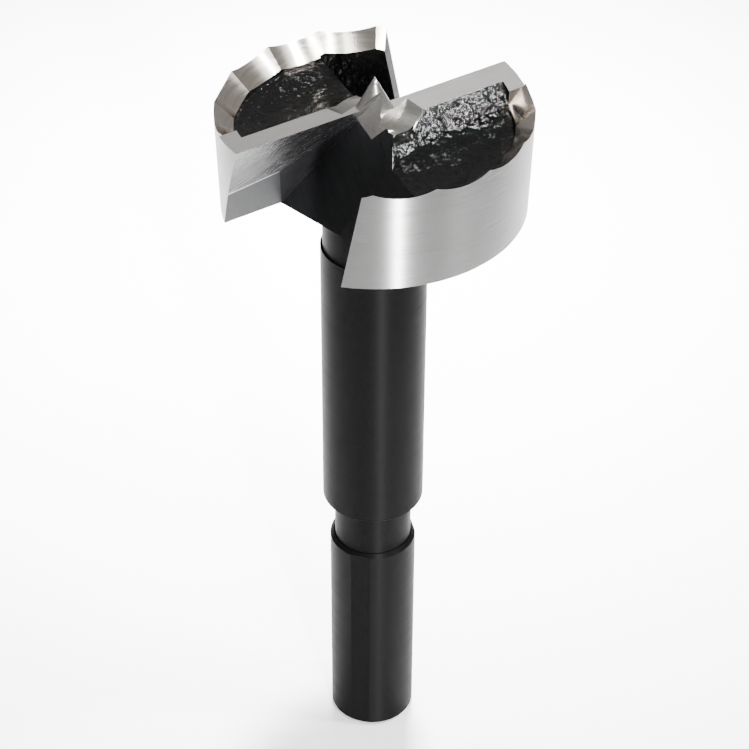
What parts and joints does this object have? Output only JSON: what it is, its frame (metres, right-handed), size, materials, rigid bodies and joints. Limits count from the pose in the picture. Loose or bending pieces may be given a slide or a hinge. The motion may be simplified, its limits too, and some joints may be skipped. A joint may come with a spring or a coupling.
{
  "type": "forstner bit",
  "caption": "One-piece wood boring bit with a scalloped cutting rim on two wings, a pointed centre tip and a turned parallel shank.",
  "frame": {"origin": "centre of the shank's end face, on the tool axis", "axes": "+Z along the tool axis from the shank to the centre tip; +X to the right in the reference picture, -Y towards its camera"},
  "size_m": [0.033, 0.033, 0.09],
  "materials": {
    "tool_steel": "black oxide shank, body and pockets; bright ground rim, lands and cutting faces"
  },
  "bodies": {
    "root": {"forstner_bit": "tool_steel"}
  },
  "joints": []
}
